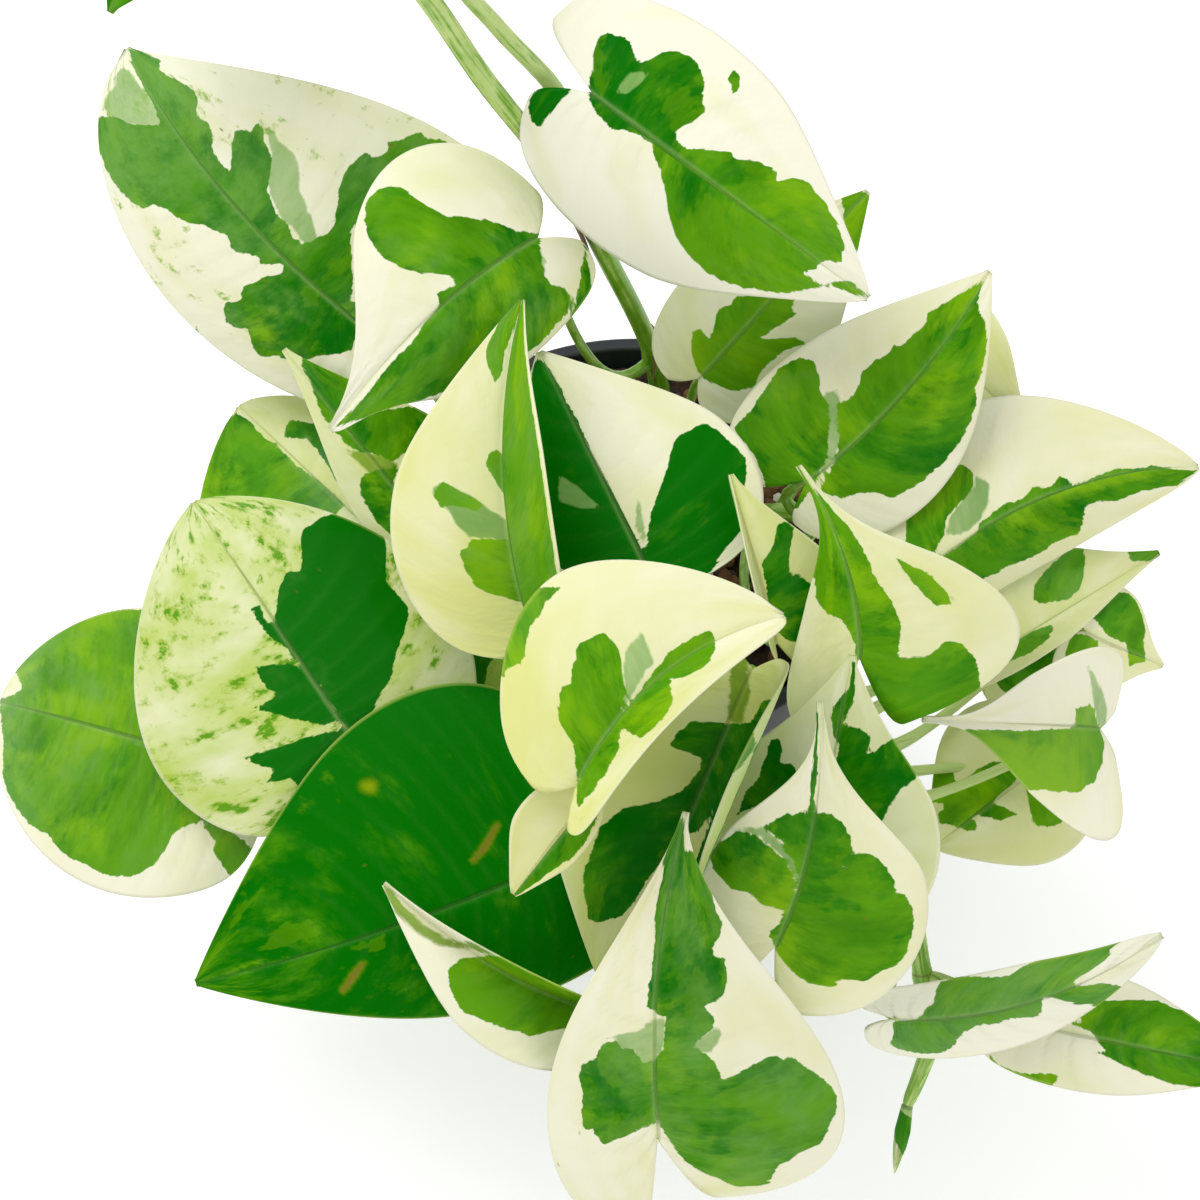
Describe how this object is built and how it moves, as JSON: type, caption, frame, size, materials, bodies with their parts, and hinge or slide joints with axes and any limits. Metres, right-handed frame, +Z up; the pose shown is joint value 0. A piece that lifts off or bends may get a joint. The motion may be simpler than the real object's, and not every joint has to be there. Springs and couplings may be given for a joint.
{
  "type": "potted variegated pothos",
  "caption": "Trailing houseplant with heart-shaped cream and green variegated leaves on several vines, growing in a round tapered dark plastic nursery pot.",
  "frame": {"origin": "centre of the pot's flat underside", "axes": "+Z up along the pot's axis, -Y towards the side that the leaves spill over, +X to the right seen from there"},
  "size_m": [0.2772, 0.2453, 0.2625],
  "materials": {
    "pot": "satin",
    "soil": "rough",
    "stem": "satin",
    "leaf": "waxy satin"
  },
  "bodies": {
    "root": {"pot": "pot", "soil": "soil", "stem_main": "stem", "stem_left": "stem", "stem_front_left": "stem", "stem_front": "stem", "stem_right": "stem", "stem_trail": "stem", "leaf_01": "leaf", "leaf_02": "leaf", "leaf_03": "leaf", "leaf_04": "leaf", "leaf_05": "leaf", "leaf_06": "leaf", "leaf_07": "leaf", "leaf_08": "leaf", "leaf_09": "leaf", "leaf_10": "leaf", "leaf_11": "leaf", "leaf_12": "leaf", "leaf_13": "leaf", "leaf_14": "leaf", "leaf_15": "leaf", "leaf_16": "leaf", "leaf_17": "leaf", "leaf_18": "leaf", "leaf_19": "leaf", "leaf_20": "leaf", "leaf_21": "leaf", "leaf_22": "leaf", "leaf_23": "leaf", "leaf_24": "leaf", "leaf_25": "leaf", "leaf_26": "leaf", "leaf_27": "leaf", "leaf_28": "leaf", "leaf_29": "leaf", "leaf_30": "leaf", "leaf_31": "leaf", "leaf_32": "leaf", "leaf_33": "leaf", "new_leaf": "leaf"}
  },
  "joints": []
}
